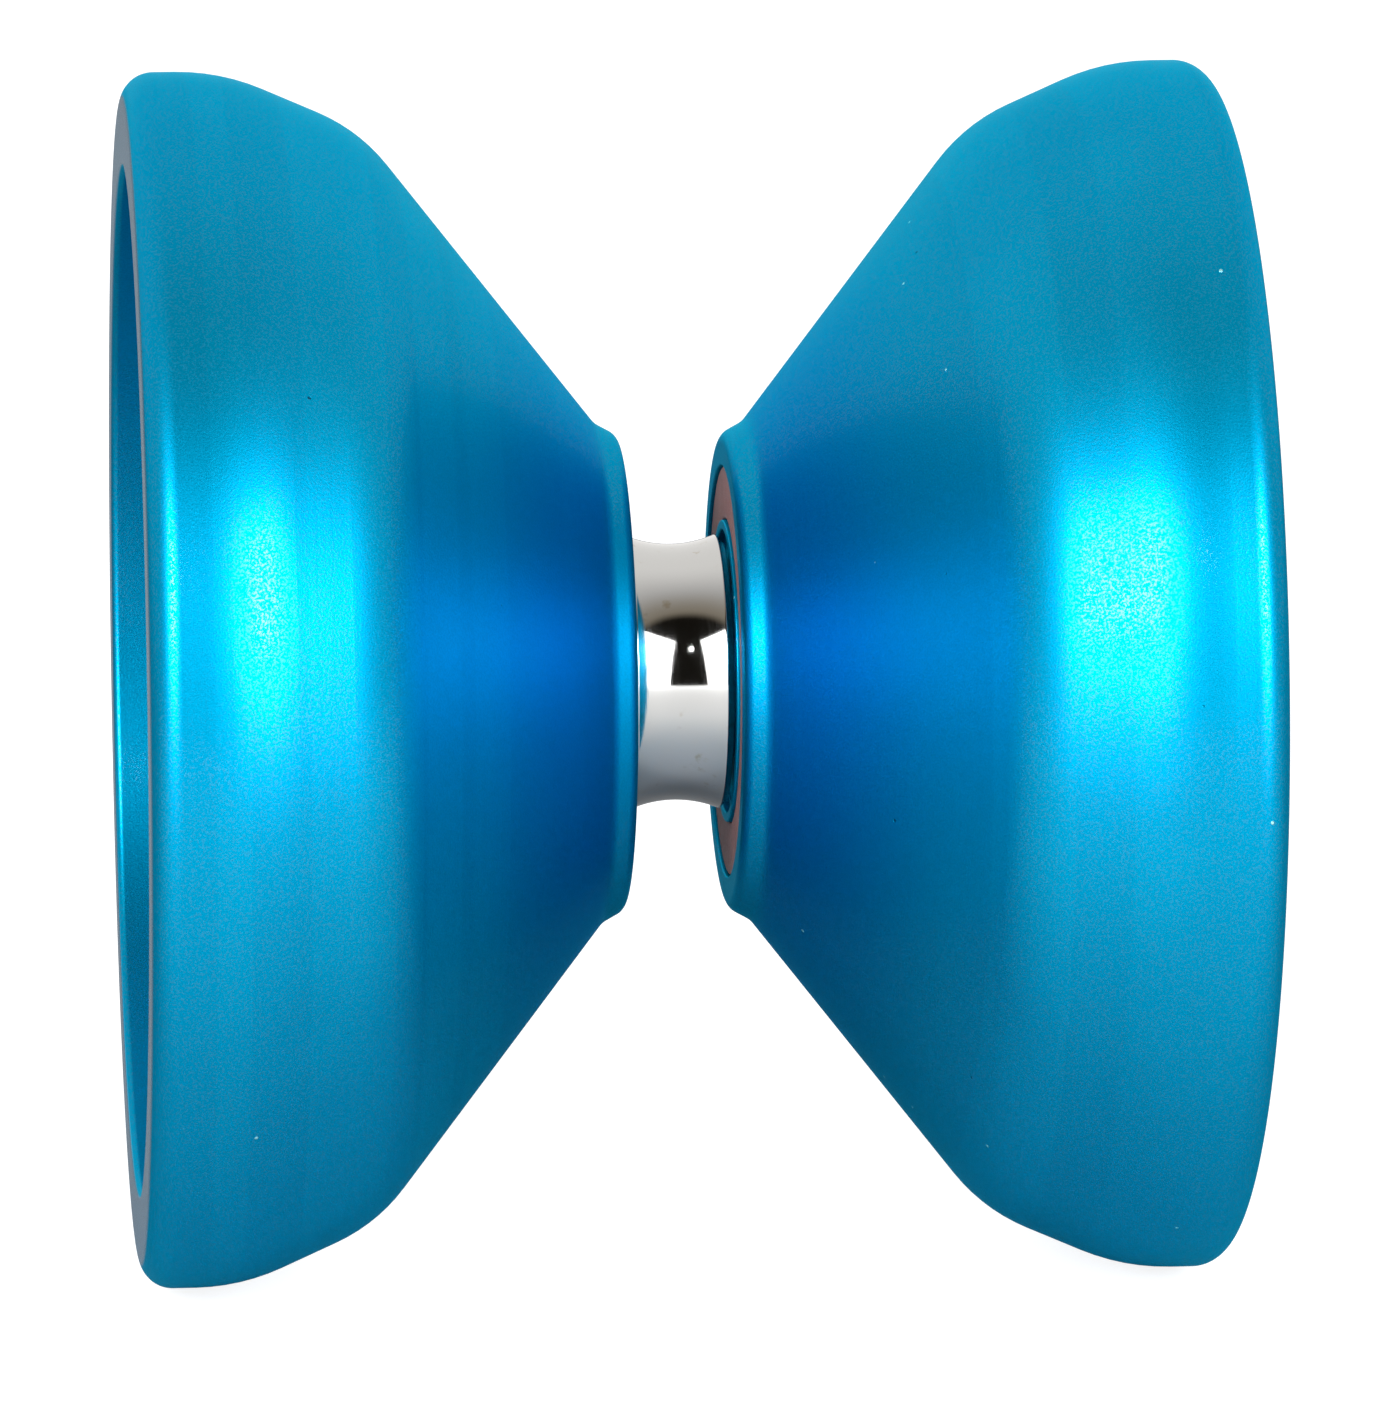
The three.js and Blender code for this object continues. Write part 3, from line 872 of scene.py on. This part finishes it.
def tent():
    """The world: a white tent, dimmer towards -Y, where it turns cream and then nearly dark."""
    world = bpy.data.worlds.new("tent")
    world.use_nodes = True
    bpy.context.scene.world = world
    nodes, links = world.node_tree.nodes, world.node_tree.links
    background = nodes["Background"]
    place = nodes.new("ShaderNodeTexCoord")
    split = nodes.new("ShaderNodeSeparateXYZ")
    links.new(place.outputs["Generated"], split.inputs[0])

    def ramp(numbers):
        made = nodes.new("ShaderNodeMapRange")
        made.interpolation_type = "SMOOTHSTEP"
        for socket, number in zip(("From Min", "From Max", "To Min", "To Max"), numbers):
            made.inputs[socket].default_value = number
        links.new(split.outputs["Y"], made.inputs["Value"])
        return made.outputs["Result"]

    strength = nodes.new("ShaderNodeMath")
    strength.operation = "MULTIPLY"
    links.new(ramp(TENT_LIGHT), strength.inputs[0])
    links.new(ramp(TENT_DARK_SIDE), strength.inputs[1])
    links.new(strength.outputs[0], background.inputs["Strength"])
    warmth = nodes.new("ShaderNodeMix")
    warmth.data_type = "RGBA"
    links.new(ramp(TENT_WARM_SIDE), warmth.inputs[0])
    warmth.inputs[6].default_value = TENT_WHITE
    warmth.inputs[7].default_value = TENT_CREAM
    links.new(warmth.outputs[2], background.inputs["Color"])


def floor():
    """A pale floor that glows a little to the camera only, so that it looks as white as the tent. Its
    colour holds painted light: paler in front of the yo-yo as a pool of lamp light, and greyer under and
    behind it as a painted shadow.
    """
    bm = bmesh.new()
    bmesh.ops.create_grid(bm, x_segments=1, y_segments=1, size=FLOOR_HALF_SIZE)
    mesh = bpy.data.meshes.new("floor")
    bm.to_mesh(mesh)
    bm.free()
    plane = bpy.data.objects.new("floor", mesh)
    plane.location.z = -RIM_RADIUS * MM
    bpy.context.scene.collection.objects.link(plane)
    shader = Shader("pale_floor", roughness=0.8, specular_ior_level=0.2)
    # Painted light in front of the yo-yo, and painted shadow under and behind it
    painted_light_ahead = shader.ramp(shader.split(shader.position)[1], *FLOOR_GREY_CHANGE, 1.0, 0.0)
    seen = shader.node("ShaderNodeLightPath").outputs["Is Camera Ray"]
    shader.set(
        base_color=shader.mix(painted_light_ahead, FLOOR_PAINTED_SHADOW_GREY, FLOOR_PAINTED_LIGHT_GREY),
        emission_color=(1.0, 1.0, 1.0, 1.0),
        emission_strength=shader.math("MULTIPLY", seen, FLOOR_GLOW),
    )
    mesh.materials.append(shader.material)


def studio():
    camera()
    tent()
    floor()
    for side, azimuth in SIDE_AZIMUTHS.items():
        softbox(f"{side}_softbox", azimuth, **SIDE_SOFTBOX)
        softbox(f"{side}_lamp", azimuth, **SIDE_LAMP)
    softbox("top_lamp", CAMERA_AZIMUTH, **TOP_LAMP)
    bpy.context.scene.view_settings.view_transform = "Standard"


build()
studio()
